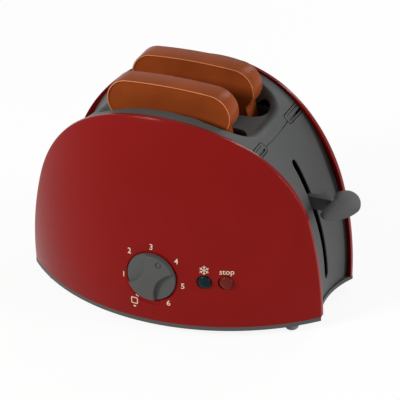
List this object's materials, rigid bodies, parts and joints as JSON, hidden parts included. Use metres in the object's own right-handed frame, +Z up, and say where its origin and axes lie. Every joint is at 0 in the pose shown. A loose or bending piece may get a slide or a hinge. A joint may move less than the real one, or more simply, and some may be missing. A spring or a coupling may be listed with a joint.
{
  "type": "toy toaster",
  "caption": "Pretend-play toaster with bowed panels, pop-up toast slices on a sprung lever carriage, a turning dial and push buttons.",
  "frame": {"origin": "on the floor at the bottom of the feet, under the middle of the whole toy with its lever and dial; the middle of the body is at x -6.85 mm, y 1.84 mm", "axes": "+X along the length towards the lever, +Y to the rear panel, away from the dial, +Z up"},
  "size_m": [0.2036, 0.1382, 0.144],
  "materials": {
    "red_gloss": "gloss",
    "grey_plastic": "satin",
    "black_plastic": "matt",
    "toast_brown": "satin",
    "foot_rubber": "matt",
    "steel": "plain",
    "stop_red": "gloss",
    "defrost_dark": "gloss"
  },
  "bodies": {
    "housing": {"front_panel": "red_gloss", "rear_panel": "red_gloss", "top_cover": "grey_plastic", "right_end_wall": "grey_plastic", "left_end_wall": "grey_plastic", "base_plate": "grey_plastic", "feet": "foot_rubber", "base_screws": "steel", "front_slot_liner": "black_plastic", "rear_slot_liner": "black_plastic", "guide_rod": "steel", "return_spring": "steel", "click_spring": "steel", "stop_spring": "steel", "defrost_spring": "steel", "latch_pin": "steel"},
    "carriage": {"carriage": "black_plastic", "lever_paddle": "grey_plastic"},
    "front_toast": {"front_toast": "toast_brown"},
    "rear_toast": {"rear_toast": "toast_brown"},
    "dial": {"dial_knob": "grey_plastic", "click_wheel": "black_plastic", "dial_retainer": "steel"},
    "stop_button": {"stop_button": "stop_red"},
    "defrost_button": {"defrost_button": "defrost_dark"},
    "latch": {"latch_pawl": "black_plastic"}
  },
  "joints": [
    {"name": "carriage_slide", "type": "slide", "parent": "housing", "child": "carriage", "axis": [0, 0, 1], "range_m": [-0.045, 0.019], "stiffness_N_per_m": 150, "springref_m": 0.011, "deforming": ["return_spring"]},
    {"name": "front_toast_lift", "type": "slide", "parent": "carriage", "child": "front_toast", "axis": [0, 0, 1], "range_m": [0, 0.08]},
    {"name": "rear_toast_lift", "type": "slide", "parent": "carriage", "child": "rear_toast", "axis": [0, 0, 1], "range_m": [0, 0.08]},
    {"name": "dial_turn", "type": "hinge", "parent": "housing", "child": "dial", "pos_m": [-0.0041, -0.06334, 0.0385], "axis": [0, 1, 0], "range_deg": [-176, 124]},
    {"name": "stop_press", "type": "slide", "parent": "housing", "child": "stop_button", "axis": [0, 1, 0], "range_m": [-0.0015, 0.0018], "stiffness_N_per_m": 400, "deforming": ["stop_spring"]},
    {"name": "defrost_press", "type": "slide", "parent": "housing", "child": "defrost_button", "axis": [0, 1, 0], "range_m": [0, 0.002], "stiffness_N_per_m": 400, "deforming": ["defrost_spring"]},
    {"name": "latch_swing", "type": "hinge", "parent": "housing", "child": "latch", "pos_m": [0.04015, -0.03116, 0.028], "axis": [1, 0, 0], "range_deg": [-9.4, 7.9]}
  ],
  "couplings": [
    {"joint": "latch_swing", "follows": "stop_press", "rad_per_m": -90.909}
  ]
}
